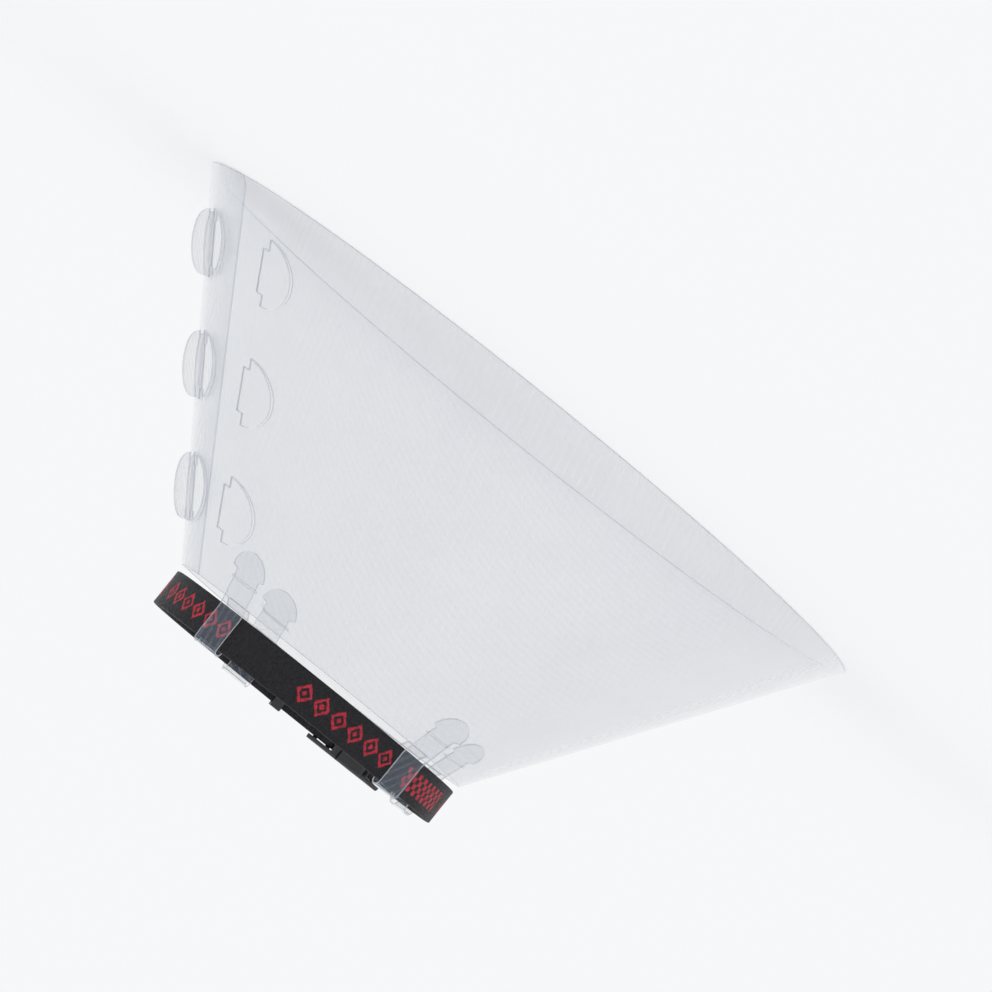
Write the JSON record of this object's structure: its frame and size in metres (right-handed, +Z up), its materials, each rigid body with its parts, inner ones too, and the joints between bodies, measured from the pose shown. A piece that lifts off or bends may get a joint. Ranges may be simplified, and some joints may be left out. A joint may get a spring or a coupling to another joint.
{
  "type": "elizabethan collar",
  "caption": "Rolled translucent ribbed plastic cone for a dog's neck, closed by mushroom tongues and hung by folded loops on a webbing strap with a side-release buckle.",
  "frame": {"origin": "centre of the rim plane, on the surface that the rim stands on", "axes": "+Z up the cone's axis from the rim to the neck, +X towards the overlapped seam"},
  "size_m": [0.3036, 0.3029, 0.1437],
  "materials": {
    "frosted_sheet": "frosted, finely ribbed, translucent",
    "webbing": "woven nylon with a red woven geometric pattern",
    "thread": "twisted sewing thread",
    "moulded_plastic": "fine spark-eroded grain"
  },
  "bodies": {
    "cone": {"cone_sheet": "frosted_sheet", "loop_band_1": "frosted_sheet", "loop_band_2": "frosted_sheet", "loop_band_3": "frosted_sheet", "loop_band_4": "frosted_sheet"},
    "closure_tongue_outer_1": {"closure_tongue_outer_1": "frosted_sheet"},
    "closure_tongue_inner_1": {"closure_tongue_inner_1": "frosted_sheet"},
    "spare_tongue_1": {"spare_tongue_1": "frosted_sheet"},
    "closure_tongue_outer_2": {"closure_tongue_outer_2": "frosted_sheet"},
    "closure_tongue_inner_2": {"closure_tongue_inner_2": "frosted_sheet"},
    "spare_tongue_2": {"spare_tongue_2": "frosted_sheet"},
    "closure_tongue_outer_3": {"closure_tongue_outer_3": "frosted_sheet"},
    "closure_tongue_inner_3": {"closure_tongue_inner_3": "frosted_sheet"},
    "spare_tongue_3": {"spare_tongue_3": "frosted_sheet"},
    "loop_tab_1": {"loop_tab_1": "frosted_sheet"},
    "loop_tab_2": {"loop_tab_2": "frosted_sheet"},
    "loop_tab_3": {"loop_tab_3": "frosted_sheet"},
    "loop_tab_4": {"loop_tab_4": "frosted_sheet"},
    "strap": {"neck_strap": "webbing", "turnback_stitching": "thread", "buckle_female": "moulded_plastic", "buckle_male": "moulded_plastic"},
    "keeper": {"strap_keeper": "moulded_plastic"},
    "arm_upper": {"buckle_arm_upper": "moulded_plastic"},
    "arm_lower": {"buckle_arm_lower": "moulded_plastic"}
  },
  "joints": [
    {"name": "outer_tongue_fold_1", "type": "hinge", "parent": "cone", "child": "closure_tongue_outer_1", "pos_m": [0.08225, -0.01197, 0.09894], "axis": [-0.561, 0.0838, 0.8235], "range_deg": [-30, 30]},
    {"name": "inner_tongue_fold_1", "type": "hinge", "parent": "cone", "child": "closure_tongue_inner_1", "pos_m": [0.0814, -0.01185, 0.09835], "axis": [-0.561, 0.0838, 0.8235], "range_deg": [-20, 20]},
    {"name": "spare_tongue_fold_1", "type": "hinge", "parent": "cone", "child": "spare_tongue_1", "pos_m": [0.06813, -0.04738, 0.09894], "axis": [-0.4647, 0.3254, 0.8235], "range_deg": [0, 60]},
    {"name": "outer_tongue_fold_2", "type": "hinge", "parent": "cone", "child": "closure_tongue_outer_2", "pos_m": [0.10772, -0.01578, 0.06155], "axis": [-0.561, 0.0838, 0.8235], "range_deg": [-30, 30]},
    {"name": "inner_tongue_fold_2", "type": "hinge", "parent": "cone", "child": "closure_tongue_inner_2", "pos_m": [0.10687, -0.01565, 0.06096], "axis": [-0.561, 0.0838, 0.8235], "range_deg": [-20, 20]},
    {"name": "spare_tongue_fold_2", "type": "hinge", "parent": "cone", "child": "spare_tongue_2", "pos_m": [0.08922, -0.06216, 0.06155], "axis": [-0.4647, 0.3254, 0.8235], "range_deg": [0, 60]},
    {"name": "outer_tongue_fold_3", "type": "hinge", "parent": "cone", "child": "closure_tongue_outer_3", "pos_m": [0.1332, -0.01959, 0.02416], "axis": [-0.561, 0.0838, 0.8235], "range_deg": [-30, 30]},
    {"name": "inner_tongue_fold_3", "type": "hinge", "parent": "cone", "child": "closure_tongue_inner_3", "pos_m": [0.13234, -0.01946, 0.02357], "axis": [-0.561, 0.0838, 0.8235], "range_deg": [-20, 20]},
    {"name": "spare_tongue_fold_3", "type": "hinge", "parent": "cone", "child": "spare_tongue_3", "pos_m": [0.11032, -0.07693, 0.02416], "axis": [-0.4647, 0.3254, 0.8235], "range_deg": [0, 60]},
    {"name": "loop_open_1", "type": "hinge", "parent": "cone", "child": "loop_tab_1", "pos_m": [0.02579, 0.06227, 0.14138], "axis": [0.9239, -0.3827, 0], "range_deg": [0, 100]},
    {"name": "loop_open_2", "type": "hinge", "parent": "cone", "child": "loop_tab_2", "pos_m": [-0.05684, 0.03621, 0.14138], "axis": [0.5373, 0.8434, 0], "range_deg": [0, 100]},
    {"name": "loop_open_3", "type": "hinge", "parent": "cone", "child": "loop_tab_3", "pos_m": [-0.04553, -0.04969, 0.14138], "axis": [-0.7373, 0.6756, 0], "range_deg": [0, 100]},
    {"name": "loop_open_4", "type": "hinge", "parent": "cone", "child": "loop_tab_4", "pos_m": [0.04103, -0.05347, 0.14138], "axis": [-0.7934, -0.6088, 0], "range_deg": [0, 100]},
    {"name": "strap_turn", "type": "hinge", "parent": "cone", "child": "strap", "pos_m": [0, 0, 0.1339], "axis": [0, 0, 1], "range_deg": [-5, 5]},
    {"name": "keeper_slide", "type": "hinge", "parent": "strap", "child": "keeper", "pos_m": [0, 0, 0.1339], "axis": [0, 0, 1], "range_deg": [-3, 11]},
    {"name": "arm_press_upper", "type": "hinge", "parent": "strap", "child": "arm_upper", "pos_m": [-0.02604, 0.06211, 0.1401], "axis": [0.3867, -0.9222, 0], "range_deg": [0, 14], "stiffness_Nm_per_rad": 0.2},
    {"name": "arm_press_lower", "type": "hinge", "parent": "strap", "child": "arm_lower", "pos_m": [-0.02604, 0.06211, 0.1277], "axis": [-0.3867, 0.9222, 0], "range_deg": [0, 14], "stiffness_Nm_per_rad": 0.2}
  ],
  "couplings": [
    {"joint": "inner_tongue_fold_1", "follows": "outer_tongue_fold_1", "ratio": 0.6666},
    {"joint": "inner_tongue_fold_2", "follows": "outer_tongue_fold_2", "ratio": 0.6666},
    {"joint": "inner_tongue_fold_3", "follows": "outer_tongue_fold_3", "ratio": 0.6666}
  ]
}
